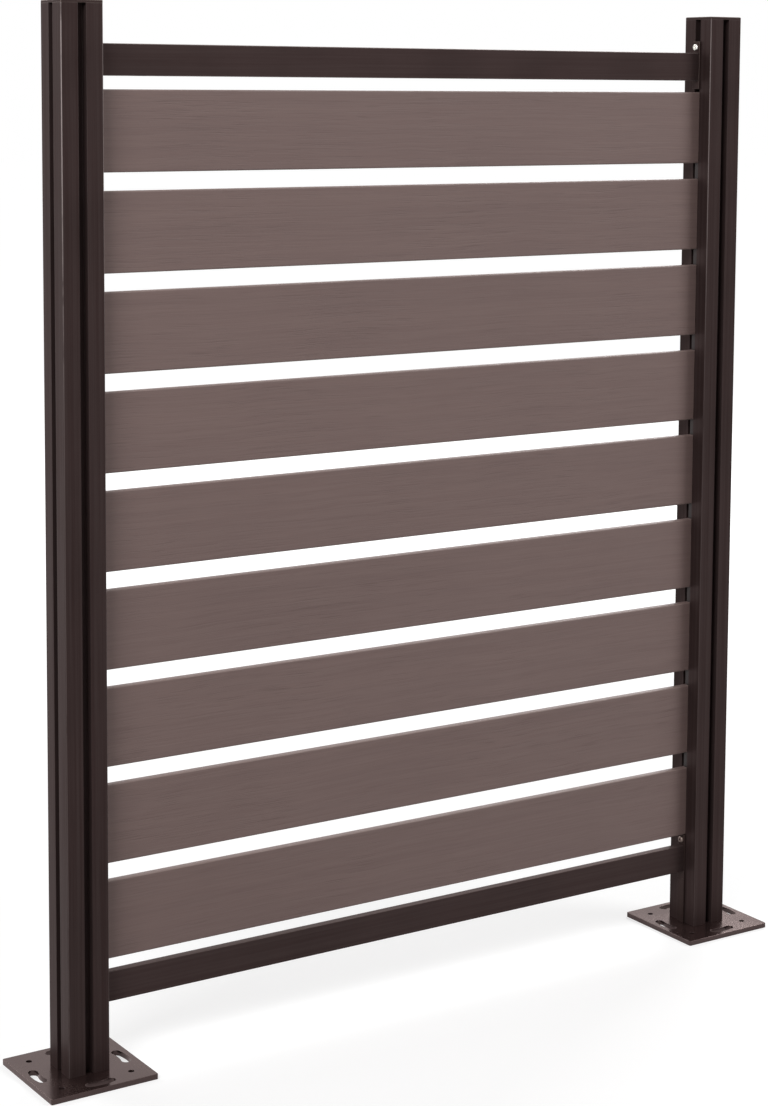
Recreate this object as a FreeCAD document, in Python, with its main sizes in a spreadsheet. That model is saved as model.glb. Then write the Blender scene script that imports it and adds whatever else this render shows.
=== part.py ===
# A garden privacy screen: two extruded posts on slotted base plates, and nine
# boards stacked in the posts' grooves between a top rail and a bottom rail.
#
# Millimetres. X runs along the fence, the front faces -Y and Z is up. The
# origin is on the ground, midway between the posts.

import FreeCAD, Part
import math
import os
import re
import Sketcher

# Driving dimensions: each has one value, and every other size is worked out
# from these.
SIZES = {
    # posts
    "post_centres": 900,
    "post_side": 50,
    "post_wall": 2,
    "post_corner_radius": 1.5,
    "post_rise": 42,              # from the top rail to the post's upper end
    "groove_depth": 10,
    "port_wall": 1.8,             # wall round each screw port
    "port_merge": 1,              # how far a port sinks into the post's walls
    # boards
    "slat_count": 9,
    "slat_height": 90,
    "slat_thickness": 9.4,
    "slat_edge_radius": 2,
    "slat_gap": 20,
    "slat_clearance": 0.3,        # to each side of the groove
    "slat_end_clearance": 1,      # to the groove's floor
    "end_gap": 14.5,              # between a rail and the nearest board
    # rails
    "rail_height": 35,
    "rail_thickness": 10,
    "rail_wall": 1.5,
    "rail_edge_radius": 1,
    "rail_ground_gap": 75,
    "rail_end_clearance": 0.25,
    # brackets that join the rails to the posts
    "flange_thickness": 2.5,
    "flange_width": 12.5,
    "flange_below": 10.5,
    "flange_edge_radius": 0.5,
    "tongue_length": 25,
    "tongue_clearance": 0.2,
    # the screw of each bracket
    "screw_diameter": 4.2,
    "screw_head_diameter": 8.4,
    "screw_head_height": 2.8,
    "screw_head_round": 1.6,
    "screw_point": 5.5,           # how far it stands out behind the groove
    "screw_point_taper": 3,
    "screw_clearance": 0.1,
    "socket_radius": 1.8,
    "socket_depth": 1.5,
    # spacers in the grooves, between the boards
    "spacer_width": 6,
    "spacer_recess": 0.3,
    # strips that carry the bottom brackets
    "strip_stem_depth": 6,
    # base plates
    "plate_side": 130,
    "plate_thickness": 6,
    "plate_corner_radius": 2,
    "plate_edge_round": 0.4,
    "slot_circle_radius": 53,
    "slot_width": 11,
    "slot_sweep": 28,             # degrees, between the slot's end centres
    "corner_hole_diameter": 7,
    "corner_hole_spacing": 85,
    # countersunk screws from each base plate up into its post
    "base_screw_diameter": 5,
    "base_screw_length": 40,
    "base_screw_taper": 4,
    "base_head_diameter": 10,
    "base_head_recess": 0.3,
    "base_seat_clearance": 0.05,
    "base_hole_clearance": 0.2,
    "base_socket_radius": 2.2,
    "base_socket_depth": 1.8,
    # caps
    "cap_thickness": 3.5,
    "cap_chamfer": 0.8,
    "plug_depth": 12,
    "plug_wall": 2,
    "plug_clearance": 0.2,
}

# Sizes that follow from the driving ones.
DERIVED = {
    "inner_face": "post_centres / 2 - post_side / 2",
    "groove_width": "slat_thickness + 2 * slat_clearance",
    "groove_floor": "post_side / 2 - groove_depth",
    "core_half": "groove_floor - post_wall",
    "port_bore_radius": "base_screw_diameter / 2 + screw_clearance",
    "port_radius": "port_bore_radius + port_wall",
    "port_place": "post_side / 2 - post_wall - port_radius + port_merge",
    "slat_pitch": "slat_height + slat_gap",
    "slat_length": "2 * (inner_face + groove_depth - slat_end_clearance)",
    "lowest_slat_foot": "rail_ground_gap + rail_height + end_gap",
    "stack_top": "lowest_slat_foot + slat_count * slat_pitch - slat_gap",
    "top_rail_foot": "stack_top + end_gap",
    "post_length": "top_rail_foot + rail_height + post_rise - plate_thickness",
    "post_top": "plate_thickness + post_length",
    "rail_length": "2 * (inner_face - flange_thickness - rail_end_clearance)",
    "flange_height": "flange_below + rail_height + end_gap",
    "bracket_screw_rise": "rail_height + end_gap / 2",
    "screw_depth": "groove_depth + post_wall + screw_point",
    "spacer_front": "slat_clearance - groove_width / 2",
    "strip_height": "rail_ground_gap - flange_below - plate_thickness",
}

LEFT = -1
RIGHT = 1
SIDES = {"left": LEFT, "right": RIGHT}
CORNERS = [(1, 1), (-1, 1), (-1, -1), (1, -1)]

document = FreeCAD.newDocument("PrivacyScreen")
sheet = document.addObject("Spreadsheet::Sheet", "Sizes")
for row, (alias, value) in enumerate(SIZES.items(), start=1):
    sheet.set(f"A{row}", alias)
    sheet.set(f"B{row}", str(value))
    sheet.setAlias(f"B{row}", alias)
document.recompute()

pieces = {}


# ---------------------------------------------------------------- helpers

def formula(text):
    """Write out a formula of size names as references to the sheet."""
    def replace(match):
        word = match.group(0)
        if word in DERIVED:
            return "(" + formula(DERIVED[word]) + ")"
        if word in SIZES:
            return "Sizes." + word
        return word
    return re.sub(r"[a-z][a-z_]*", replace, str(text))


def bind(owner, prop, text):
    """Hold a property of an object at a formula."""
    owner.setExpression(prop, formula(text))


def new_body(label):
    """Start the body of one piece."""
    body = document.addObject("PartDesign::Body", label)
    body.Label = label
    pieces[label] = body
    return body


def origin_feature(body, role):
    """Find one of the body's own planes or axes."""
    for feature in body.Origin.OriginFeatures:
        if feature.Role == role:
            return feature
    raise LookupError(role)


def new_sketch(body, label, role="XY_Plane", lift="0"):
    """Attach a sketch to one of the body's own planes, lifted off it."""
    sketch = body.newObject("Sketcher::SketchObject", label)
    sketch.AttachmentSupport = [(origin_feature(body, role), "")]
    sketch.MapMode = "FlatFace"
    bind(sketch, "AttachmentOffset.Base.z", lift)
    return sketch


def hold(sketch, constraint, text):
    """Add a constraint whose value is a formula."""
    index = sketch.addConstraint(constraint)
    bind(sketch, f"Constraints[{index}]", text)


def hold_point(sketch, edge, end, place):
    """Hold one end or centre of an edge at (x, y), both formulas."""
    hold(sketch, Sketcher.Constraint("DistanceX", edge, end, 1.0), place[0])
    hold(sketch, Sketcher.Constraint("DistanceY", edge, end, 1.0), place[1])


def polygon(sketch, corners):
    """Draw a closed outline through corners given as pairs of formulas."""
    count = len(corners)
    ring = []
    for index in range(count):
        turn = 2 * math.pi * index / count
        ring.append(FreeCAD.Vector(math.cos(turn), math.sin(turn), 0))
    first = sketch.GeometryCount
    for index in range(count):
        sketch.addGeometry(Part.LineSegment(ring[index], ring[(index + 1) % count]))
    for index in range(count):
        following = first + (index + 1) % count
        sketch.addConstraint(Sketcher.Constraint("Coincident", first + index, 2, following, 1))
    for index, corner in enumerate(corners):
        hold_point(sketch, first + index, 1, corner)


def rectangle(sketch, x_low, y_low, x_high, y_high):
    """Draw a rectangle between two corners given as formulas."""
    polygon(sketch, [(x_low, y_low), (x_high, y_low), (x_high, y_high), (x_low, y_high)])


def centred_rectangle(sketch, width, height):
    """Draw a rectangle round the sketch's origin."""
    rectangle(sketch, f"-({width}) / 2", f"-({height}) / 2", f"({width}) / 2", f"({height}) / 2")


def circle(sketch, x, y, diameter):
    """Draw a circle from formulas."""
    edge = sketch.addGeometry(Part.Circle(FreeCAD.Vector(0, 0, 0), FreeCAD.Vector(0, 0, 1), 1))
    hold_point(sketch, edge, 3, (x, y))
    hold(sketch, Sketcher.Constraint("Diameter", edge, 2.0), diameter)


def pad(body, label, sketch, length, symmetric=False):
    """Add material along the sketch's normal."""
    feature = body.newObject("PartDesign::Pad", label)
    feature.Profile = sketch
    if symmetric:
        feature.SideType = "Symmetric"
    bind(feature, "Length", length)
    return feature


def pocket(body, label, sketch, length=None, forward=True):
    """Cut along the sketch's normal, or against it; right through if no length."""
    feature = body.newObject("PartDesign::Pocket", label)
    feature.Profile = sketch
    feature.Reversed = forward
    if length is None:
        feature.Type = "ThroughAll"
    else:
        bind(feature, "Length", length)
    return feature


def four_round(body, label, originals):
    """Repeat features at quarter turns about the body's Z axis."""
    pattern = body.newObject("PartDesign::PolarPattern", label)
    pattern.Originals = originals
    pattern.Axis = (origin_feature(body, "Z_Axis"), [""])
    pattern.Angle = 360
    pattern.Occurrences = 4
    body.Tip = pattern
    return pattern


def round_edges(body, label, base, radius, wanted):
    """Round every edge of the base feature that wanted(edge) picks."""
    document.recompute()
    names = []
    for number, edge in enumerate(base.Shape.Edges, start=1):
        if wanted(edge):
            names.append(f"Edge{number}")
    feature = body.newObject("PartDesign::Fillet", label)
    feature.Base = (base, names)
    bind(feature, "Radius", radius)
    return feature


def along(axis):
    """Pick the straight edges that run along an axis."""
    def wanted(edge):
        if edge.Curve.TypeId != "Part::GeomLine":
            return False
        return abs(edge.Curve.Direction.dot(axis)) > 0.999
    return wanted


def at_height(height):
    """Pick the edges that lie flat at one height of the body."""
    def wanted(edge):
        box = edge.BoundBox
        return abs(box.ZMin - height) < 0.001 and abs(box.ZMax - height) < 0.001
    return wanted


def value(text):
    """Work out a formula of size names as a number."""
    return float(sheet.evalExpression(formula(text)))


X_AXIS = FreeCAD.Vector(1, 0, 0)
Z_AXIS = FreeCAD.Vector(0, 0, 1)


def face_inwards(body, side):
    """Turn a piece modelled for the left post round for the right one."""
    if side == RIGHT:
        body.Placement = FreeCAD.Placement(FreeCAD.Vector(), FreeCAD.Rotation(Z_AXIS, 180))


# ---------------------------------------------------------------- base plates

def base_plate(label, side):
    """A square plate with four arc slots, four holes and four countersinks."""
    body = new_body(label)
    outline = new_sketch(body, label + "_outline")
    centred_rectangle(outline, "plate_side", "plate_side")
    slab = pad(body, label + "_slab", outline, "plate_thickness")
    corners = round_edges(body, label + "_corners", slab, "plate_corner_radius", along(Z_AXIS))
    rim = round_edges(body, label + "_rim", corners, "plate_edge_round",
                      at_height(value("plate_thickness")))

    middle = new_sketch(body, label + "_slot_middle", "XZ_Plane")
    rectangle(middle, "slot_circle_radius - slot_width / 2", "0",
              "slot_circle_radius + slot_width / 2", "plate_thickness")
    slot = body.newObject("PartDesign::Groove", label + "_slot")
    slot.Profile = middle
    slot.ReferenceAxis = (origin_feature(body, "Z_Axis"), [""])
    slot.Midplane = True
    bind(slot, "Angle", "slot_sweep")

    ends = new_sketch(body, label + "_slot_ends")
    for turn in ("slot_sweep / 2", "-slot_sweep / 2"):
        circle(ends, f"slot_circle_radius * cos({turn})", f"slot_circle_radius * sin({turn})",
               "slot_width")
    slot_ends = pocket(body, label + "_slot_rounding", ends)
    slots = four_round(body, label + "_slots", [slot, slot_ends])

    corner = new_sketch(body, label + "_corner_hole")
    circle(corner, "corner_hole_spacing / 2", "corner_hole_spacing / 2", "corner_hole_diameter")
    corner_hole = pocket(body, label + "_corner_drilling", corner)
    holes = four_round(body, label + "_corner_holes", [corner_hole])

    centres = new_sketch(body, label + "_screw_centres")
    for x, y in CORNERS:
        circle(centres, f"{x} * port_place", f"{y} * port_place", "base_screw_diameter")
    document.recompute()
    sinks = body.newObject("PartDesign::Hole", label + "_countersinks")
    sinks.Profile = centres
    sinks.Reversed = True
    sinks.DepthType = "ThroughAll"
    sinks.HoleCutType = "Countersink"
    sinks.HoleCutCustomValues = True
    sinks.HoleCutCountersinkAngle = 90
    bind(sinks, "Diameter", "base_screw_diameter + 2 * base_hole_clearance")
    bind(sinks, "HoleCutDiameter",
         "base_head_diameter + 2 * (base_head_recess + base_seat_clearance)")
    body.Tip = sinks
    bind(body, "Placement.Base.x", f"{side} * post_centres / 2")
    return [slab, rim, slots, holes, sinks]


# ---------------------------------------------------------------- posts

def post(label, side):
    """A square hollow extrusion with a groove in each face and four screw ports."""
    body = new_body(label)
    outline = new_sketch(body, label + "_outline")
    centred_rectangle(outline, "post_side", "post_side")
    bar = pad(body, label + "_bar", outline, "post_length")
    rounded = round_edges(body, label + "_corners", bar, "post_corner_radius", along(Z_AXIS))

    core = new_sketch(body, label + "_core")
    centred_rectangle(core, "2 * core_half", "2 * core_half")
    core_cut = pocket(body, label + "_core_cut", core)

    chamber = new_sketch(body, label + "_chamber")
    rectangle(chamber, "groove_width / 2 + post_wall", "groove_width / 2 + post_wall",
              "post_side / 2 - post_wall", "post_side / 2 - post_wall")
    chamber_cut = pocket(body, label + "_chamber_cut", chamber)
    chambers = four_round(body, label + "_chambers", [chamber_cut])

    port = new_sketch(body, label + "_port")
    circle(port, "port_place", "port_place", "2 * port_radius")
    circle(port, "port_place", "port_place", "2 * port_bore_radius")
    port_pad = pad(body, label + "_port_wall", port, "post_length")
    ports = four_round(body, label + "_ports", [port_pad])

    groove = new_sketch(body, label + "_groove")
    rectangle(groove, "groove_floor", "-groove_width / 2",
              "groove_floor + post_side", "groove_width / 2")
    groove_cut = pocket(body, label + "_groove_cut", groove)
    grooves = four_round(body, label + "_grooves", [groove_cut])

    pilots = new_sketch(body, label + "_pilots", "YZ_Plane")
    for rail_foot in ("rail_ground_gap", "top_rail_foot"):
        circle(pilots, "0", f"{rail_foot} + bracket_screw_rise - plate_thickness",
               "screw_diameter + 2 * screw_clearance")
    drilled = pocket(body, label + "_pilot_holes", pilots, "post_side / 2")

    face_inwards(body, side)
    bind(body, "Placement.Base.x", f"{side} * post_centres / 2")
    bind(body, "Placement.Base.z", "plate_thickness")
    return [bar, rounded, core_cut, chambers, ports, grooves, drilled]


def post_cap(label, side):
    """A flat cap with a chamfered rim and a square plug inside the post."""
    body = new_body(label)
    outline = new_sketch(body, label + "_outline")
    centred_rectangle(outline, "post_side", "post_side")
    lid = pad(body, label + "_lid", outline, "cap_thickness")
    corners = round_edges(body, label + "_corners", lid, "post_corner_radius", along(Z_AXIS))
    document.recompute()
    top_edges = []
    for number, edge in enumerate(corners.Shape.Edges, start=1):
        if at_height(value("cap_thickness"))(edge):
            top_edges.append(f"Edge{number}")
    rim = body.newObject("PartDesign::Chamfer", label + "_rim")
    rim.Base = (corners, top_edges)
    bind(rim, "Size", "cap_chamfer")

    plug = new_sketch(body, label + "_plug", lift="-plug_depth")
    outer = "2 * (core_half - plug_clearance)"
    centred_rectangle(plug, outer, outer)
    inner = "2 * (core_half - plug_clearance - plug_wall)"
    centred_rectangle(plug, inner, inner)
    plug_pad = pad(body, label + "_plug_walls", plug, "plug_depth")
    bind(body, "Placement.Base.x", f"{side} * post_centres / 2")
    bind(body, "Placement.Base.z", "post_top")
    return [lid, plug_pad]


# ---------------------------------------------------------------- boards and rails

def slat(label, number):
    """A solid board with rounded long edges; number 1 is the top one."""
    body = new_body(label)
    section = new_sketch(body, label + "_section", "YZ_Plane")
    rectangle(section, "-slat_thickness / 2", "0", "slat_thickness / 2", "slat_height")
    board = pad(body, label + "_board", section, "slat_length", symmetric=True)
    edges = round_edges(body, label + "_edges", board, "slat_edge_radius", along(X_AXIS))
    bind(body, "Placement.Base.z", f"lowest_slat_foot + (slat_count - {number}) * slat_pitch")
    return [board, edges]


def rail(label, foot):
    """A flat tube between the two brackets at one height."""
    body = new_body(label)
    section = new_sketch(body, label + "_section", "YZ_Plane")
    rectangle(section, "-rail_thickness / 2", "0", "rail_thickness / 2", "rail_height")
    bar = pad(body, label + "_bar", section, "rail_length", symmetric=True)
    edges = round_edges(body, label + "_edges", bar, "rail_edge_radius", along(X_AXIS))
    hollow = new_sketch(body, label + "_hollow", "YZ_Plane", "-rail_length / 2")
    rectangle(hollow, "rail_wall - rail_thickness / 2", "rail_wall",
              "rail_thickness / 2 - rail_wall", "rail_height - rail_wall")
    tube = pocket(body, label + "_tube", hollow)
    bind(body, "Placement.Base.z", foot)
    return [bar, edges, tube]


# ---------------------------------------------------------------- brackets

def bracket(label, side, foot):
    """A flange on the post's inner face and a tongue inside the rail's end."""
    body = new_body(label)
    face = new_sketch(body, label + "_face", "YZ_Plane")
    rectangle(face, "-flange_width / 2", "-flange_below",
              "flange_width / 2", "rail_height + end_gap")
    flange = pad(body, label + "_flange", face, "flange_thickness")
    front = value("flange_thickness")

    def on_front(edge):
        box = edge.BoundBox
        return abs(box.XMin - front) < 0.001 and abs(box.XMax - front) < 0.001

    softened = round_edges(body, label + "_softened", flange, "flange_edge_radius", on_front)
    bore = new_sketch(body, label + "_bore", "YZ_Plane")
    circle(bore, "0", "bracket_screw_rise", "screw_diameter + 4 * screw_clearance")
    drilled = pocket(body, label + "_drilled", bore)
    inside = "(rail_wall + tongue_clearance)"
    section = new_sketch(body, label + "_section", "YZ_Plane", "flange_thickness")
    rectangle(section, f"{inside} - rail_thickness / 2", inside,
              f"rail_thickness / 2 - {inside}", f"rail_height - {inside}")
    tongue = pad(body, label + "_tongue", section, "tongue_length")
    face_inwards(body, side)
    bind(body, "Placement.Base.x", f"{side} * inner_face")
    bind(body, "Placement.Base.z", foot)
    return [flange, softened, drilled, tongue]


def bracket_screw(label, side, foot):
    """A pan-head screw through the flange into the groove's floor."""
    body = new_body(label)
    radius = "screw_diameter / 2"
    head_radius = "screw_head_diameter / 2"
    crown = "flange_thickness + screw_head_height"
    profile = new_sketch(body, label + "_profile", "XZ_Plane")
    polygon(profile, [
        ("-screw_depth", "0"),
        (crown, "0"),
        (crown, head_radius),
        ("flange_thickness", head_radius),
        ("flange_thickness", radius),
        ("screw_point_taper - screw_depth", radius),
    ])
    turned = body.newObject("PartDesign::Revolution", label + "_turned")
    turned.Profile = profile
    turned.ReferenceAxis = (origin_feature(body, "X_Axis"), [""])
    turned.Angle = 360
    top = value(crown)

    def crown_rim(edge):
        box = edge.BoundBox
        return abs(box.XMin - top) < 0.001 and edge.Curve.TypeId == "Part::GeomCircle"

    domed = round_edges(body, label + "_domed", turned, "screw_head_round", crown_rim)
    socket = new_sketch(body, label + "_socket", "YZ_Plane", crown)
    corners = [(f"socket_radius * cos({turn})", f"socket_radius * sin({turn})")
               for turn in range(0, 360, 60)]
    polygon(socket, corners)
    recess = pocket(body, label + "_recess", socket, "socket_depth", forward=False)
    face_inwards(body, side)
    bind(body, "Placement.Base.x", f"{side} * inner_face")
    bind(body, "Placement.Base.z", f"{foot} + bracket_screw_rise")
    return [turned, domed, recess]


# ---------------------------------------------------------------- in the grooves

def spacer(label, side, number):
    """A block in the groove that keeps board number + 1 below board number."""
    body = new_body(label)
    section = new_sketch(body, label + "_section")
    rectangle(section, "inner_face + spacer_recess", "spacer_front",
              "inner_face + groove_depth - slat_clearance", "spacer_front + spacer_width")
    block = pad(body, label + "_block", section, "slat_gap")
    if side == LEFT:
        # the block is turned about X = 0, then shifted back to the groove's front
        body.Placement = FreeCAD.Placement(FreeCAD.Vector(), FreeCAD.Rotation(Z_AXIS, 180))
        bind(body, "Placement.Base.y", "2 * spacer_front + spacer_width")
    bind(body, "Placement.Base.z", f"stack_top - {number} * slat_pitch")
    return [block]


def support_strip(label, side):
    """A T-section strip over the groove, from the base plate to the bracket."""
    body = new_body(label)
    section = new_sketch(body, label + "_section")
    half_stem = "(groove_width / 2 - slat_clearance)"
    face = "inner_face"
    polygon(section, [
        (f"{face} - flange_thickness", "-flange_width / 2"),
        (face, "-flange_width / 2"),
        (face, f"-{half_stem}"),
        (f"{face} + strip_stem_depth", f"-{half_stem}"),
        (f"{face} + strip_stem_depth", half_stem),
        (face, half_stem),
        (face, "flange_width / 2"),
        (f"{face} - flange_thickness", "flange_width / 2"),
    ])
    strip = pad(body, label + "_strip", section, "strip_height")
    if side == LEFT:
        body.Placement = FreeCAD.Placement(FreeCAD.Vector(), FreeCAD.Rotation(Z_AXIS, 180))
    bind(body, "Placement.Base.z", "plate_thickness")
    return [strip]


# ---------------------------------------------------------------- base screws

def base_screws(label, side):
    """Four countersunk screws from under a base plate into the post's ports."""
    screws = []
    for number, (x, y) in enumerate(CORNERS, start=1):
        name = f"{label}_{number}"
        head = document.addObject("Part::Cone", name + "_head")
        bind(head, "Radius1", "base_head_diameter / 2")
        bind(head, "Radius2", "base_screw_diameter / 2")
        bind(head, "Height", "(base_head_diameter - base_screw_diameter) / 2")
        shank = document.addObject("Part::Cylinder", name + "_shank")
        bind(shank, "Radius", "base_screw_diameter / 2")
        bind(shank, "Height", "base_screw_length - base_screw_taper")
        point = document.addObject("Part::Cone", name + "_point")
        bind(point, "Radius1", "base_screw_diameter / 2")
        bind(point, "Radius2", "base_screw_diameter / 4")
        bind(point, "Height", "base_screw_taper")
        bind(point, "Placement.Base.z", "base_screw_length - base_screw_taper")
        blank = document.addObject("Part::MultiFuse", name + "_blank")
        blank.Shapes = [head, shank, point]
        blank.Refine = True
        socket = document.addObject("Part::Prism", name + "_socket")
        socket.Polygon = 6
        bind(socket, "Circumradius", "base_socket_radius")
        bind(socket, "Height", "base_socket_depth")
        screw = document.addObject("Part::Cut", name)
        screw.Base = blank
        screw.Tool = socket
        bind(screw, "Placement.Base.x", f"{side} * post_centres / 2 + {x} * port_place")
        bind(screw, "Placement.Base.y", f"{y} * port_place")
        bind(screw, "Placement.Base.z", "base_head_recess")
        screws.append(screw)
    group = document.addObject("Part::Compound", label)
    group.Label = label
    group.Links = screws
    pieces[label] = group


# ---------------------------------------------------------------- the screen

# each chain of features must change its body's volume at every step
chains = {}
for name, side in SIDES.items():
    chains[f"{name}_base_plate"] = base_plate(f"{name}_base_plate", side)
    base_screws(f"{name}_base_screws", side)
    chains[f"{name}_post"] = post(f"{name}_post", side)
    chains[f"{name}_post_cap"] = post_cap(f"{name}_post_cap", side)
    chains[f"{name}_support_strip"] = support_strip(f"{name}_support_strip", side)
    for number in range(1, SIZES["slat_count"]):
        label = f"{name}_spacer_{number}"
        chains[label] = spacer(label, side, number)
    for level, foot in (("top", "top_rail_foot"), ("bottom", "rail_ground_gap")):
        label = f"{level}_{name}_bracket"
        chains[label] = bracket(label, side, foot)
        chains[label + "_screw"] = bracket_screw(label + "_screw", side, foot)

chains["top_rail"] = rail("top_rail", "top_rail_foot")
chains["bottom_rail"] = rail("bottom_rail", "rail_ground_gap")
for number in range(1, SIZES["slat_count"] + 1):
    chains[f"slat_{number}"] = slat(f"slat_{number}", number)

document.recompute()

# ---------------------------------------------------------------- checks and files

faults = []
for item in document.Objects:
    if "Invalid" in item.State or "Error" in item.State:
        faults.append(f"{item.Label}: {item.State}")
for label, piece in pieces.items():
    if piece.Shape.isNull() or not piece.Shape.isValid():
        faults.append(f"{label}: bad shape")
for label, features in chains.items():
    volumes = [feature.Shape.Volume for feature in features]
    for before, after in zip(volumes, volumes[1:]):
        if abs(after - before) < 0.001:
            faults.append(f"{label}: a feature changes nothing {volumes}")
if faults:
    raise RuntimeError("; ".join(faults))

os.makedirs("parts", exist_ok=True)
for label, piece in pieces.items():
    piece.Shape.exportStep(f"parts/{label}.step")
    box = piece.Shape.BoundBox
    print(f"{label}: {len(piece.Shape.Solids)} solid(s), {piece.Shape.Volume:.0f} mm3, "
          f"x {box.XMin:.1f} to {box.XMax:.1f}, y {box.YMin:.1f} to {box.YMax:.1f}, "
          f"z {box.ZMin:.1f} to {box.ZMax:.1f}")
print(f"{len(pieces)} pieces")
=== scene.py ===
# %% [markdown]
# # Dressing a garden privacy screen
# The screen is nine flat boards between two square posts. Each post stands on its own square foot
# plate. Two flat rails, one above the boards and one below, are screwed to the posts with small
# brackets. The engineering model already has every edge radius and screw, so its pieces stay as they
# are, and the lesson is about finishes: how to make powder coat, composite board, turned steel and
# moulded plastic from nodes alone.

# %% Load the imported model
import math

import bpy
from mathutils import Matrix, Vector


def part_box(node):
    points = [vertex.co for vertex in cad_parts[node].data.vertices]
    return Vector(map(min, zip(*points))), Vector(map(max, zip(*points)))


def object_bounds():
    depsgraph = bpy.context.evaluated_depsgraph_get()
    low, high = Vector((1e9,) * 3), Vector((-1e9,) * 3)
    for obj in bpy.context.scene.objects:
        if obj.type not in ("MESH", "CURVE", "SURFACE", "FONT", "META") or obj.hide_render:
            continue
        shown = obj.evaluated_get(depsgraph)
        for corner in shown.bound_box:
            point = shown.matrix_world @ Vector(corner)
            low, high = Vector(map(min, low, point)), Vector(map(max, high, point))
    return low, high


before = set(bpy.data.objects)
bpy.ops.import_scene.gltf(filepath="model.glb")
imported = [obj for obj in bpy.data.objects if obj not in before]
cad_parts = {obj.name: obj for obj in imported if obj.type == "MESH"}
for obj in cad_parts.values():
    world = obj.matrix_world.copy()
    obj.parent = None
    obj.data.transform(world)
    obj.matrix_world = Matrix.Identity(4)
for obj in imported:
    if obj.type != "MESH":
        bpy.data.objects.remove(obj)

cad_low, cad_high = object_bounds()
print("pieces:", len(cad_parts))
print("size in metres:", [round(high - low, 4) for low, high in zip(cad_low, cad_high)])

# %% [markdown]
# ## Finding the pieces
# The names of the pieces say what they are: left_post, slat_4, top_rail. One short helper picks all
# pieces whose name holds a word. Naming pieces this way is worth the trouble, because a finish then
# goes on all of its pieces in one line.


# %% Pick pieces by name
def pieces_with(word):
    return [piece for name, piece in sorted(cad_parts.items()) if word in name]


boards = pieces_with("slat_")
posts = [piece for piece in pieces_with("_post") if "cap" not in piece.name]
rails = pieces_with("_rail")
caps = pieces_with("_post_cap")
plates = pieces_with("_base_plate")
strips = pieces_with("_support_strip")
spacers = pieces_with("_spacer_")
screws = pieces_with("_screw")
brackets = [piece for piece in pieces_with("_bracket") if "screw" not in piece.name]
for title, group in (("boards", boards), ("posts", posts), ("rails", rails), ("caps", caps),
                     ("plates", plates), ("strips", strips), ("spacers", spacers),
                     ("screws", screws), ("brackets", brackets)):
    print(title, len(group))

# %% [markdown]
# ## The camera
# The photograph was taken from the left, a little below the top of the posts, with a long lens. The
# uprights stay parallel although the feet are far below the lens. A photographer gets that by sliding
# the lens down instead of tilting it, and Blender's name for it is Shift. The numbers were fitted so
# that the edges of the boards, posts and plates fall where the photograph has them.

# %% Camera
PHOTO_LONG_SIDE = 1106  # the photograph is 768 x 1106
FOCAL_LENGTH_IN_PIXELS = 2371.2
LENS_AXIS_ROW = 331  # the row of the photograph that the lens points at
SENSOR_WIDTH = 36  # millimetres
CAMERA_PLACE = Vector((-1.56621, -2.32522, 1.09668))
TURN, TILT, ROLL = -0.57817, -0.10181, -0.00560  # radians

camera_data = bpy.data.cameras.new("photo_camera")
camera_data.sensor_width = SENSOR_WIDTH
camera_data.lens = FOCAL_LENGTH_IN_PIXELS * SENSOR_WIDTH / PHOTO_LONG_SIDE
camera_data.shift_y = (LENS_AXIS_ROW - PHOTO_LONG_SIDE / 2) / PHOTO_LONG_SIDE
camera = bpy.data.objects.new("photo_camera", camera_data)
look = (Matrix.Rotation(TURN, 4, "Z") @ Matrix.Rotation(TILT, 4, "X") @ Matrix.Rotation(ROLL, 4, "Y")
        @ Matrix.Rotation(math.radians(90), 4, "X"))
camera.matrix_world = Matrix.Translation(CAMERA_PLACE) @ look
bpy.context.scene.collection.objects.link(camera)
bpy.context.scene.camera = camera
print("lens", round(camera_data.lens, 1), "mm, shift", round(camera_data.shift_y, 3))

# %% [markdown]
# ## A small kit for nodes
# A material made from nodes reads like a recipe when a few helpers do the typing. `add` puts a node
# in a tree and sets its values, and `new_group` opens a shader node group with named sockets. An
# effect that several finishes share is a group, built once and used with other numbers in each. The
# rest are the sums, patterns and places that every recipe below asks for.


# %% Nodes and groups
def fill(tree, node, inputs):
    """Sets or links the sockets of a node: inputs maps a socket to a value or to another socket."""
    for name, value in inputs.items():
        if isinstance(value, bpy.types.NodeSocket):
            tree.links.new(value, node.inputs[name])
        else:
            node.inputs[name].default_value = value
    return node


def add(tree, kind, inputs=None, **settings):
    """A new node. inputs sets or links its sockets, settings its other options."""
    node = tree.nodes.new(kind)
    for name, value in settings.items():
        setattr(node, name, value)
    return fill(tree, node, inputs or {})


def new_group(title, inputs, outputs):
    """An empty shader group: inputs are numbers with a start value, outputs are numbers."""
    group = bpy.data.node_groups.new(title, "ShaderNodeTree")
    for name, start in inputs.items():
        socket = group.interface.new_socket(name, in_out="INPUT", socket_type="NodeSocketFloat")
        socket.default_value = start
    for name in outputs:
        group.interface.new_socket(name, in_out="OUTPUT", socket_type="NodeSocketFloat")
    group_in = group.nodes.new("NodeGroupInput").outputs
    group_out = group.nodes.new("NodeGroupOutput").inputs
    return group, group_in, group_out


def use(tree, group, **values):
    """Places a group in a tree. An underscore in a keyword stands for a space in the socket's name."""
    inputs = {name.replace("_", " "): value for name, value in values.items()}
    return add(tree, "ShaderNodeGroup", inputs, node_tree=group).outputs


# %% Sums
def maths(tree, operation, a, b=0.0, clamp=False):
    """One sum of two numbers. clamp keeps the answer between 0 and 1."""
    return add(tree, "ShaderNodeMath", {0: a, 1: b}, operation=operation, use_clamp=clamp).outputs[0]


def times(tree, a, b):
    return maths(tree, "MULTIPLY", a, b)


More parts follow.
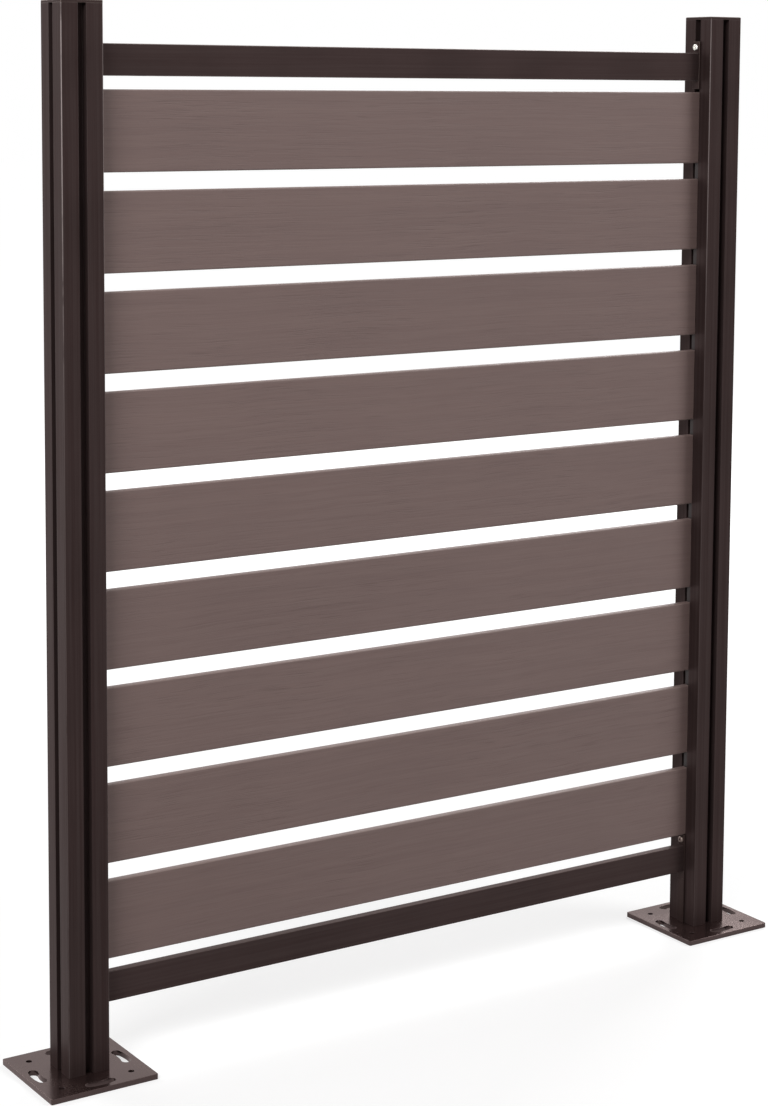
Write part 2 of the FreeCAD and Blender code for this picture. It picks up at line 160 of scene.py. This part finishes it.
def vector_maths(tree, operation, *vectors):
    """One sum of vectors. A dot product or a length comes out as a number."""
    node = add(tree, "ShaderNodeVectorMath", dict(enumerate(vectors)), operation=operation)
    return node.outputs["Value" if operation in ("DOT_PRODUCT", "LENGTH") else "Vector"]


def ramp(tree, value, low, high, out_low=0.0, out_high=1.0):
    """Maps low..high to out_low..out_high with soft ends."""
    return add(tree, "ShaderNodeMapRange",
               {"Value": value, "From Min": low, "From Max": high, "To Min": out_low, "To Max": out_high},
               interpolation_type="SMOOTHSTEP").outputs["Result"]


# %% Places, patterns and colours
MOST_NOISE = (0.3, 0.7)  # most of a noise lies between these values


def place_of(tree):
    """Where a point lies in the model, in metres."""
    return add(tree, "ShaderNodeTexCoord").outputs["Object"]


def split(tree, vector):
    """The X, Y and Z of a vector."""
    return add(tree, "ShaderNodeSeparateXYZ", {0: vector}).outputs


def noise(tree, place, scale, detail, roughness=0.5):
    """A cloudy pattern between 0 and 1. A larger scale makes it finer."""
    return add(tree, "ShaderNodeTexNoise", {"Vector": place, "Scale": scale, "Detail": detail,
                                            "Roughness": roughness}).outputs["Fac"]


def blend_colours(tree, factor, first, second):
    """The first colour where factor is 0, the second where it is 1."""
    node = add(tree, "ShaderNodeMix", {0: factor}, data_type="RGBA")
    return fill(tree, node, {6: first, 7: second}).outputs[2]


def srgb(red, green, blue):
    """A colour as an eye dropper reads it, 0 to 255, as Blender's linear numbers."""
    def linear(value):
        value /= 255
        return value / 12.92 if value <= 0.04045 else ((value + 0.055) / 1.055) ** 2.4
    return (linear(red), linear(green), linear(blue), 1.0)


# %% [markdown]
# ## Shared effect: worn edges and painted edge highlight
# Paint is thinnest on a corner, and handling polishes it there. The Bevel node looks a set distance
# round each point and bends the normal near a corner. Where the bent normal and the true one differ,
# there is an edge. In the middle of a rounded corner the two agree again, so a second test helps: the
# faces of these pieces look straight along an axis, and a normal that looks along none of them lies on
# a rounding. Sharp says how much the sharp edges count beside the rounded ones. A noise breaks the mask
# up, because no real edge wears evenly.

# %% Edge wear group: where the corners are
LEAST_BEND, MOST_BEND = 0.004, 0.07  # one minus the cosine between the bent and the true normal
FLAT, ROUNDED = 0.99, 0.86  # the largest part of a normal: on a flat face, and well round a corner
edge_wear_and_highlight, wear_in, wear_out = new_group("edge wear and highlight", {"Width": 0.001, "Breakup": 60.0, "Sharp": 0.3},
                                         ["Mask"])
bent_normal = add(edge_wear_and_highlight, "ShaderNodeBevel", {"Radius": wear_in["Width"]}, samples=6).outputs[0]
true_normal = add(edge_wear_and_highlight, "ShaderNodeNewGeometry").outputs["Normal"]
agreement = vector_maths(edge_wear_and_highlight, "DOT_PRODUCT", bent_normal, true_normal)
near_edge = ramp(edge_wear_and_highlight, maths(edge_wear_and_highlight, "SUBTRACT", 1.0, agreement), LEAST_BEND, MOST_BEND)
parts = split(edge_wear_and_highlight, vector_maths(edge_wear_and_highlight, "ABSOLUTE", true_normal))
largest = maths(edge_wear_and_highlight, "MAXIMUM", parts["X"], maths(edge_wear_and_highlight, "MAXIMUM", parts["Y"], parts["Z"]))
# The rounded-corner test also paints the highlight line that these corners catch in the powder coat.
on_round = ramp(edge_wear_and_highlight, largest, FLAT, ROUNDED)
corner = maths(edge_wear_and_highlight, "MAXIMUM", times(edge_wear_and_highlight, near_edge, wear_in["Sharp"]), on_round)
print("corners: sharp below", FLAT, "and rounded at", ROUNDED)

# %% Edge wear group: broken up
WHOLE, RUBBED = 0.22, 0.48  # noise values at which the coat is whole and rubbed
patches = noise(edge_wear_and_highlight, place_of(edge_wear_and_highlight), wear_in["Breakup"], 5.0, 0.65)
edge_wear_and_highlight.links.new(times(edge_wear_and_highlight, corner, ramp(edge_wear_and_highlight, patches, WHOLE, RUBBED)), wear_out["Mask"])
print("group:", edge_wear_and_highlight.name)

# %% [markdown]
# ## Shared effect: powder-coat skin
# Powder coat is sprayed dry and melted in an oven. It flows into a skin with a very fine orange peel,
# about a millimetre from bump to bump, with a broader unevenness under it. Both are noises. The group
# gives a height for the bump and a slow tone for colour and gloss.

# %% Coat skin group
SWELL_SCALE = 0.13  # the broad unevenness has this part of the peel's scale
PEEL_SHARE, SWELL_SHARE = 0.6, 0.4
coat_skin, skin_in, skin_out = new_group("coat skin", {"Grain": 900.0, "Cloud": 7.0}, ["Height", "Tone"])
place = place_of(coat_skin)
peel = noise(coat_skin, place, skin_in["Grain"], 2.0, 0.45)
swell = noise(coat_skin, place, times(coat_skin, skin_in["Grain"], SWELL_SCALE), 1.0)
cloud = noise(coat_skin, place, skin_in["Cloud"], 4.0, 0.55)
height = maths(coat_skin, "ADD", times(coat_skin, peel, PEEL_SHARE), times(coat_skin, swell, SWELL_SHARE))
coat_skin.links.new(height, skin_out["Height"])
coat_skin.links.new(ramp(coat_skin, cloud, *MOST_NOISE), skin_out["Tone"])
print("group:", coat_skin.name)

# %% [markdown]
# ## Shared effect: die lines
# Posts, rails and strips are extruded: soft aluminium is pushed through a steel die, and each nick in
# the die draws a faint line along the whole bar. The coat softens the lines but doesn't hide them. A
# noise stretched along the bar gives them. The three scales say which way the bar runs: the small one
# is its direction.

# %% Die lines group
ACROSS_BAR, ALONG_BAR = 260.0, 2.5  # scale of the noise across the bar and along it
die_lines, lines_in, lines_out = new_group(
    "die lines", {"Scale X": ACROSS_BAR, "Scale Y": ACROSS_BAR, "Scale Z": ALONG_BAR}, ["Streak"])
bar_scale = add(die_lines, "ShaderNodeCombineXYZ", {"X": lines_in["Scale X"], "Y": lines_in["Scale Y"],
                                                    "Z": lines_in["Scale Z"]}).outputs[0]
drawn_out = vector_maths(die_lines, "MULTIPLY", place_of(die_lines), bar_scale)
nicks = noise(die_lines, drawn_out, 1.0, 4.0, 0.72)
die_lines.links.new(ramp(die_lines, nicks, *MOST_NOISE), lines_out["Streak"])
print("group:", die_lines.name)

# %% [markdown]
# ## Shared effect: dust
# Anything that stands outside carries a film of dust on the faces that look up. The mask takes the
# upward part of the normal and breaks it up with two sizes of noise.

# %% Dust group
SLOPE, LEVEL_TOP = 0.55, 0.95  # upward part of the normal: dust begins to stay, and stays all over
dust, dust_in, dust_out = new_group("dust", {"Speck": 350.0}, ["Mask"])
facing = split(dust, add(dust, "ShaderNodeNewGeometry").outputs["Normal"])
place = place_of(dust)
drift = ramp(dust, noise(dust, place, 18.0, 4.0), 0.3, 0.75)
speck = ramp(dust, noise(dust, place, dust_in["Speck"], 3.0), 0.35, 0.7)
upward = ramp(dust, facing["Z"], SLOPE, LEVEL_TOP)
dust.links.new(times(dust, upward, times(dust, drift, speck)), dust_out["Mask"])
print("group:", dust.name)

# %% [markdown]
# ## Shared effect: brushed wood grain
# The boards imitate planed timber. The grain is a set of fine dark lines along the board, one to three
# centimetres long and under a millimetre thick, closer together in some places. A noise that is
# squeezed across the board and stretched along it gives such lines. Before that, a slow noise pushes
# the lines up and down by a few millimetres, which bends them into the figure of real wood.

# %% Wood grain group: the stretched place
wood_grain, grain_in, grain_out = new_group(
    "wood grain", {"Along": 16.0, "Across": 900.0, "Wander": 0.012}, ["Tone", "Lines", "Pores"])
place = place_of(wood_grain)
figure = maths(wood_grain, "SUBTRACT", noise(wood_grain, place, 5.0, 2.0), 0.5)
lift = add(wood_grain, "ShaderNodeCombineXYZ", {"Z": times(wood_grain, figure, grain_in["Wander"])})
lifted = vector_maths(wood_grain, "ADD", place, lift.outputs[0])
squeeze = add(wood_grain, "ShaderNodeCombineXYZ", {"X": grain_in["Along"], "Y": grain_in["Across"],
                                                   "Z": grain_in["Across"]})
stretched = vector_maths(wood_grain, "MULTIPLY", lifted, squeeze.outputs[0])
print("grain: runs along the boards")

# %% Wood grain group: tone, lines and pores
FEWEST_PORES = 0.25  # share of the pores where they are thinnest
broad = noise(wood_grain, stretched, 0.11, 3.0, 0.6)
lines = noise(wood_grain, stretched, 0.6, 4.0, 0.62)
pores = noise(wood_grain, stretched, 1.35, 1.0)
crowd = ramp(wood_grain, noise(wood_grain, place, 9.0, 2.0), 0.35, 0.65, FEWEST_PORES, 1.0)
dark_lines = times(wood_grain, ramp(wood_grain, pores, 0.56, 0.7), crowd)
wood_grain.links.new(ramp(wood_grain, broad, 0.28, 0.72), grain_out["Tone"])
wood_grain.links.new(ramp(wood_grain, lines, 0.25, 0.75), grain_out["Lines"])
wood_grain.links.new(dark_lines, grain_out["Pores"])
print("group:", wood_grain.name)

# %% [markdown]
# ## Finish: satin powder coat
# Posts, rails, brackets, strips and caps are aluminium with a dark bronze powder coat. It is a dull
# brown with a soft sheen. A pinch of metal flake in the powder tints what it mirrors, so the coat stays
# brown at a low angle, where plain paint turns grey. The recipe: two close browns blended by the slow
# tone, the die lines of an extruded bar, a lighter and smoother tone on the edges, a little dust on
# top, and the fine skin as a bump. The lighter edges are partly rubbed coat and partly a painted
# highlight, the line of light that the rounded corners catch. It is painted strongest on the upper part
# of the screen and on the left, and fades out towards the ground and towards the right. The numbers
# that are the same all over, such as the specular level, sit on the shader's own socket.

# %% Powder coat: painted edge highlight and wear
EDGE_LIGHT_LOW, EDGE_LIGHT_HIGH = 0.70, 1.10  # metres above the ground: the painted highlight and wear fade in between
SHARE_BELOW, SHARE_ABOVE = 0.12, 0.8  # share of the edge mask, painted highlight and wear, at those heights
HIGHLIGHT_SIDE, FADED_SIDE = -0.4, 0.4  # metres from the middle: the painted edge highlight is strongest on the left
FADED_SHARE = 0.5  # share of the painted highlight and wear that the right side gets


def fade_highlight_and_wear(tree, worn_edges):
    """Keeps the edge mask, part wear and part painted highlight, strongest high up and on the left."""
    place = split(tree, place_of(tree))
    height_fade = ramp(tree, place["Z"], EDGE_LIGHT_LOW, EDGE_LIGHT_HIGH, SHARE_BELOW, SHARE_ABOVE)
    side = ramp(tree, place["X"], HIGHLIGHT_SIDE, FADED_SIDE, 1.0, FADED_SHARE)
    return times(tree, worn_edges, times(tree, height_fade, side))


# %% Powder coat: recipe
UPRIGHT = (ACROSS_BAR, ACROSS_BAR, ALONG_BAR)  # the die lines of a bar that stands
LYING = (ALONG_BAR, ACROSS_BAR, ACROSS_BAR)  # and of one that lies across
STREAK_COLOUR, STREAK_HEIGHT = 0.035, 0.15  # how much a die line shows in colour and in relief
DUST_COLOUR, DUST_COVER = srgb(150, 140, 130), 0.08
POLISH, DUST_DULLING = 0.1, 0.15  # rubbing takes this off the roughness, dust adds this
COAT_TINT = (1.0, 0.85, 0.83, 1.0)  # what the flake does to a reflection


def new_material(title):
    """A material, its node tree and its shader."""
    material = bpy.data.materials.new(title)
    material.use_nodes = True
    return material, material.node_tree, material.node_tree.nodes["Principled BSDF"]


def powder_coat(title, dark, light, rubbed_and_highlight_colour, gloss, shine, run=None, sharp=0.12, bump=0.2,
                grain=1000.0, metal=0.25):
    """gloss is the lowest and highest roughness, run the scales of the die lines, if it has any."""
    material, tree, shader = new_material(title)
    skin = use(tree, coat_skin, Grain=grain, Cloud=7.0)
    # The edge mask is rubbed coat and also paints the highlight of the rounded corners.
    worn = fade_highlight_and_wear(tree, use(tree, edge_wear_and_highlight, Width=0.0012, Breakup=14.0, Sharp=sharp)["Mask"])
    film = use(tree, dust, Speck=350.0)["Mask"]
    colour = blend_colours(tree, skin["Tone"], dark, light)
    rough = ramp(tree, skin["Tone"], 0.0, 1.0, *gloss)
    height = skin["Height"]
    if run:
        streak = use(tree, die_lines, Scale_X=run[0], Scale_Y=run[1], Scale_Z=run[2])["Streak"]
        colour = blend_colours(tree, times(tree, streak, STREAK_COLOUR), colour, rubbed_and_highlight_colour)
        rough = maths(tree, "ADD", rough, ramp(tree, streak, 0.0, 1.0, 0.03, -0.04))
        height = maths(tree, "ADD", height, times(tree, streak, STREAK_HEIGHT))
    # Lighter edges: rubbed coat and a painted highlight.
    colour = blend_colours(tree, worn, colour, rubbed_and_highlight_colour)
    colour = blend_colours(tree, times(tree, film, DUST_COVER), colour, DUST_COLOUR)
    rough = maths(tree, "SUBTRACT", rough, times(tree, worn, POLISH))
    rough = maths(tree, "ADD", rough, times(tree, film, DUST_DULLING), clamp=True)
    soft_edge = add(tree, "ShaderNodeBevel", {"Radius": 0.0006}, samples=4).outputs[0]
    relief = add(tree, "ShaderNodeBump", {"Strength": bump, "Distance": 0.00025, "Height": height,
                                          "Normal": soft_edge}).outputs[0]
    fill(tree, shader, {"Base Color": colour, "Roughness": rough, "Normal": relief, "Metallic": metal,
                        "Specular IOR Level": shine, "Specular Tint": COAT_TINT})
    return material


# %% Powder coat: on the pieces
def dress(pieces, material):
    for piece in pieces:
        for slot in piece.material_slots:
            slot.material = material
    print(material.name, "on", len(pieces), "pieces")


# The third colour of each coat is that of its lighter edges: rubbed coat and a painted highlight.
dress(posts, powder_coat("bronze_coat_posts", srgb(51, 39, 38), srgb(56, 43, 42), srgb(172, 160, 158),
                         gloss=(0.36, 0.44), shine=0.04, run=UPRIGHT))
dress(rails, powder_coat("bronze_coat_rails", srgb(57, 45, 44), srgb(62, 49, 48), srgb(156, 144, 141),
                         gloss=(0.36, 0.44), shine=0.05, run=LYING))
dress(strips, powder_coat("bronze_coat_strips", srgb(50, 38, 37), srgb(55, 43, 41), srgb(122, 108, 102),
                          gloss=(0.36, 0.46), shine=0.05, run=UPRIGHT))
dress(brackets, powder_coat("bronze_coat_brackets", srgb(51, 39, 38), srgb(56, 44, 42),
                            srgb(126, 112, 106), gloss=(0.36, 0.46), shine=0.05, sharp=0.25))
dress(caps, powder_coat("bronze_coat_caps", srgb(55, 43, 42), srgb(60, 48, 46), srgb(132, 118, 112),
                        gloss=(0.4, 0.5), shine=0.06, sharp=0.4))

# %% [markdown]
# ## Finish: foot plates
# The plates have the same bronze in a smoother coat, a little lighter and with much more metal flake.
# They lie flat, so at a low angle they mirror the bright surroundings, and the flake tints the
# reflection: seen so they look pale and a little pink. From above they are about as dark as the posts.
# The recipe is the same, with less roughness, more shine and hardly any orange peel.

# %% Foot plates
# As on the posts, the lighter plate edges are partly rubbed coat and partly a painted highlight.
dress(plates, powder_coat("bronze_coat_plates", srgb(60, 46, 45), srgb(65, 50, 49), srgb(96, 80, 75),
                          gloss=(0.16, 0.21), shine=0.8, bump=0.005, grain=320.0, metal=0.6))

# %% [markdown]
# ## Finish: boards
# The boards are a warm grey composite with a satin face and a brushed wood grain. Each board is a
# little lighter or darker than the next, as boards from one batch are: its height picks its own tone.
# The grain gives colour, gloss and a shallow bump. The pores are darker, duller and lower than the
# rest.

# %% Boards: tone
GRAIN_SHARE, BOARD_SHARE, CLOUD_SHARE = 0.4, 0.25, 0.35  # what the tone is made of
BOARD_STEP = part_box("slat_1")[0][2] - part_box("slat_2")[0][2]
board_finish, tree, shader = new_material("composite_board")
grain = use(tree, wood_grain)
skin = use(tree, coat_skin, Grain=1400.0, Cloud=5.0)
board_number = maths(tree, "FLOOR", maths(tree, "DIVIDE", split(tree, place_of(tree))["Z"], BOARD_STEP))
board_tone = add(tree, "ShaderNodeTexWhiteNoise", {"W": board_number}, noise_dimensions="1D")
tone = maths(tree, "ADD", times(tree, grain["Tone"], GRAIN_SHARE),
             times(tree, board_tone.outputs["Value"], BOARD_SHARE))
tone = maths(tree, "ADD", tone, times(tree, skin["Tone"], CLOUD_SHARE), clamp=True)
print("from board to board:", round(BOARD_STEP, 4), "m")

# %% Boards: colour
worn = use(tree, edge_wear_and_highlight, Width=0.0018, Breakup=25.0, Sharp=0.6)["Mask"]
film = use(tree, dust, Speck=420.0)["Mask"]
layers = ((grain["Lines"], 0.3, srgb(130, 111, 106)),  # a mask, how much of it shows, and its colour
          (grain["Pores"], 0.3, srgb(88, 72, 69)),
          (worn, 0.3, srgb(150, 132, 126)),
          (film, 0.1, srgb(172, 162, 152)))
colour = blend_colours(tree, tone, srgb(108, 89, 86), srgb(118, 98, 94))
for mask, share, layer_colour in layers:
    colour = blend_colours(tree, times(tree, mask, share), colour, layer_colour)
print("colour layers over the board's own:", len(layers))

# %% Boards: gloss and relief
PORE_DULLING = 0.15
PORE_DEPTH, LINE_HEIGHT = 0.0002, 0.5  # metres, and the lines' height beside the pores' depth
rough = maths(tree, "ADD", ramp(tree, grain["Lines"], 0.0, 1.0, 0.5, 0.42),
              times(tree, grain["Pores"], PORE_DULLING))
rough = maths(tree, "ADD", rough, times(tree, film, DUST_DULLING), clamp=True)
surface = maths(tree, "SUBTRACT", times(tree, grain["Lines"], LINE_HEIGHT), grain["Pores"])
grain_relief = add(tree, "ShaderNodeBump", {"Strength": 0.5, "Distance": PORE_DEPTH, "Height": surface})
skin_relief = add(tree, "ShaderNodeBump", {"Strength": 0.12, "Distance": 0.0001, "Height": skin["Height"],
                                           "Normal": grain_relief.outputs[0]})
fill(tree, shader, {"Base Color": colour, "Roughness": rough, "Normal": skin_relief.outputs[0],
                    "Specular IOR Level": 0.35})
dress(boards, board_finish)

# %% [markdown]
# ## Finish: screws
# The screws are plain steel. Those at the top stay bright, and those near the ground get a darker,
# browner copy of the steel, which paints the shade they stand in. A lathe leaves fine rings on the head.
# The rings are a sine of the distance from the head's middle. Generated coordinates run from 0 to 1
# over each screw by itself, so one material centres its rings on every screw.

# %% Screws: recipe
HEAD_MIDDLE = (0.5, 0.5, 0.5)
ACROSS_HEAD = (0.0, 1.0, 1.0)  # the screws lie along X
RING_SCALE = 150.0


def turned_steel(title, dark, light, rim, gloss):
    material, tree, shader = new_material(title)
    own_place = add(tree, "ShaderNodeTexCoord").outputs["Generated"]
    centred = vector_maths(tree, "SUBTRACT", own_place, HEAD_MIDDLE)
    distance = vector_maths(tree, "LENGTH", vector_maths(tree, "MULTIPLY", centred, ACROSS_HEAD))
    rings = maths(tree, "SINE", times(tree, distance, RING_SCALE))
    smudge = noise(tree, own_place, 5.0, 4.0)
    worn = use(tree, edge_wear_and_highlight, Width=0.0005, Breakup=300.0, Sharp=1.0)["Mask"]
    colour = blend_colours(tree, worn, blend_colours(tree, smudge, dark, light), rim)
    relief = add(tree, "ShaderNodeBump", {"Strength": 0.2, "Distance": 0.0001, "Height": rings})
    fill(tree, shader, {"Base Color": colour, "Roughness": ramp(tree, smudge, *MOST_NOISE, *gloss),
                        "Normal": relief.outputs[0], "Metallic": 1.0})
    return material


# %% Screws: on the pieces
bright_steel = turned_steel("bright_steel", srgb(196, 192, 186), srgb(226, 223, 218), srgb(240, 238, 234),
                            gloss=(0.24, 0.38))
# A darker, browner copy of the steel paints the shade on the screws near the ground.
steel_with_painted_shade = turned_steel("steel_with_painted_shade", srgb(100, 84, 80), srgb(124, 108, 102), srgb(140, 126, 120),
                          gloss=(0.45, 0.58))
dress([piece for piece in screws if "bottom" not in piece.name], bright_steel)
dress([piece for piece in screws if "bottom" in piece.name], steel_with_painted_shade)

# %% [markdown]
# ## Finish: spacers
# The spacers that hold the boards apart are small black-brown plastic mouldings. Moulded plastic has a
# fine spark texture and a dull shine. They sit deep in the posts' grooves and are seen only as dark
# blocks with a lighter rim.

# %% Spacers
RIM_SHARE = 0.35  # how much lighter the rim gets
spacer_plastic, tree, shader = new_material("moulded_plastic")
skin = use(tree, coat_skin, Grain=2200.0, Cloud=30.0)
worn = use(tree, edge_wear_and_highlight, Width=0.0005, Breakup=200.0, Sharp=1.0)["Mask"]
colour = blend_colours(tree, skin["Tone"], srgb(40, 33, 33), srgb(48, 40, 39))
colour = blend_colours(tree, times(tree, worn, RIM_SHARE), colour, srgb(84, 74, 70))
relief = add(tree, "ShaderNodeBump", {"Strength": 0.3, "Distance": 0.0001, "Height": skin["Height"]})
fill(tree, shader, {"Base Color": colour, "Roughness": ramp(tree, skin["Tone"], 0.0, 1.0, 0.5, 0.62),
                    "Normal": relief.outputs[0], "Specular IOR Level": 0.3})
dress(spacers, spacer_plastic)

# %% [markdown]
# ## Floor and backdrop
# The photograph has a plain white ground. Light Path tells the ray that the camera sends out from the
# rays that light the object. The world is white where the camera, a mirror or glass looks at it, and
# soft where it lights the screen. The floor works the same way: a mid grey sheet, with enough glow
# added for the camera to bring it up to white. So little light bounces up under the boards, and the
# floor still takes their shadow. The glow grows with distance, because the lamps reach the floor only
# near the screen.


# %% Rays that see the backdrop
def seen_rays(tree):
    """1 for a ray from the camera, a mirror or glass, and 0 for the rest."""
    rays = add(tree, "ShaderNodeLightPath").outputs
    mirror_or_glass = maths(tree, "MAXIMUM", rays["Is Glossy Ray"], rays["Is Transmission Ray"])
    return maths(tree, "MAXIMUM", rays["Is Camera Ray"], mirror_or_glass)


# %% Floor: mesh
FLOOR_HALF = 30.0  # metres
FLOOR_DROP = 0.0005  # metres below the plates, so that the two faces don't flicker
corners = [(-FLOOR_HALF, -FLOOR_HALF, 0), (FLOOR_HALF, -FLOOR_HALF, 0), (FLOOR_HALF, FLOOR_HALF, 0),
           (-FLOOR_HALF, FLOOR_HALF, 0)]
floor_mesh = bpy.data.meshes.new("floor")
floor_mesh.from_pydata(corners, [], [(0, 1, 2, 3)])
floor = bpy.data.objects.new("floor", floor_mesh)
bpy.context.scene.collection.objects.link(floor)
floor.location.z = cad_low.z - FLOOR_DROP
print("floor at", round(floor.location.z, 4), "m")

# %% Floor: paint
SHEET_GREY = (0.42, 0.42, 0.42, 1)
WHITE = (1, 1, 1, 1)
NEAR, FAR = 0.7, 4.0  # metres from the middle of the screen
GLOW_NEAR, GLOW_FAR = 0.64, 0.93
floor_paint = bpy.data.materials.new("pale_floor")
floor_paint.use_nodes = True
tree = floor_paint.node_tree
tree.nodes.clear()
sheet = add(tree, "ShaderNodeBsdfDiffuse", {"Color": SHEET_GREY})
from_screen = vector_maths(tree, "LENGTH", place_of(tree))
glow_here = times(tree, seen_rays(tree), ramp(tree, from_screen, NEAR, FAR, GLOW_NEAR, GLOW_FAR))
glow = add(tree, "ShaderNodeEmission", {"Color": WHITE, "Strength": glow_here})
both = add(tree, "ShaderNodeAddShader", {0: sheet.outputs[0], 1: glow.outputs[0]})
add(tree, "ShaderNodeOutputMaterial", {"Surface": both.outputs[0]})
floor_mesh.materials.append(floor_paint)
print("floor glow from", GLOW_NEAR, "to", GLOW_FAR)

# %% World
SOFT_LIGHT = 0.17
bpy.context.scene.view_settings.view_transform = "Standard"
world = bpy.data.worlds.new("studio")
bpy.context.scene.world = world
world.use_nodes = True
tree = world.node_tree
tree.nodes.clear()
soft = add(tree, "ShaderNodeBackground", {"Color": WHITE, "Strength": SOFT_LIGHT})
white = add(tree, "ShaderNodeBackground", {"Color": WHITE, "Strength": 1.0})
either = add(tree, "ShaderNodeMixShader", {0: seen_rays(tree), 1: soft.outputs[0], 2: white.outputs[0]})
add(tree, "ShaderNodeOutputWorld", {"Surface": either.outputs[0]})
print("world: soft light", SOFT_LIGHT)

# %% [markdown]
# ## Lamps
# In the photograph the boards grow darker towards both posts, over about the depth that the posts
# stand proud of them, and they are a little lighter at the top. That is what large soft lamps do
# when they stand high and well to each side. Two stand in front and two behind, so that the screen
# looks right from every side.

# %% Lamps
LAMP_SIDE = 1.8  # metres
SCREEN_MIDDLE = Vector((0, 0, 0.6))


def soft_lamp(title, place, power):
    """A large square lamp that points at the middle of the screen."""
    data = bpy.data.lights.new(title, "AREA")
    data.shape = "SQUARE"
    data.size = LAMP_SIDE
    data.energy = power
    lamp = bpy.data.objects.new(title, data)
    lamp.location = place
    lamp.rotation_euler = (SCREEN_MIDDLE - Vector(place)).to_track_quat("-Z", "Y").to_euler()
    bpy.context.scene.collection.objects.link(lamp)
    print("lamp", title, power, "W")


soft_lamp("front_right_lamp", (2.7, -2.5, 3.2), 86)
soft_lamp("front_left_lamp", (-3.0, -1.8, 2.9), 101)
soft_lamp("back_right_lamp", (3.5, 2.4, 3.2), 118)
soft_lamp("back_left_lamp", (-1.4, 4.0, 3.2), 62)
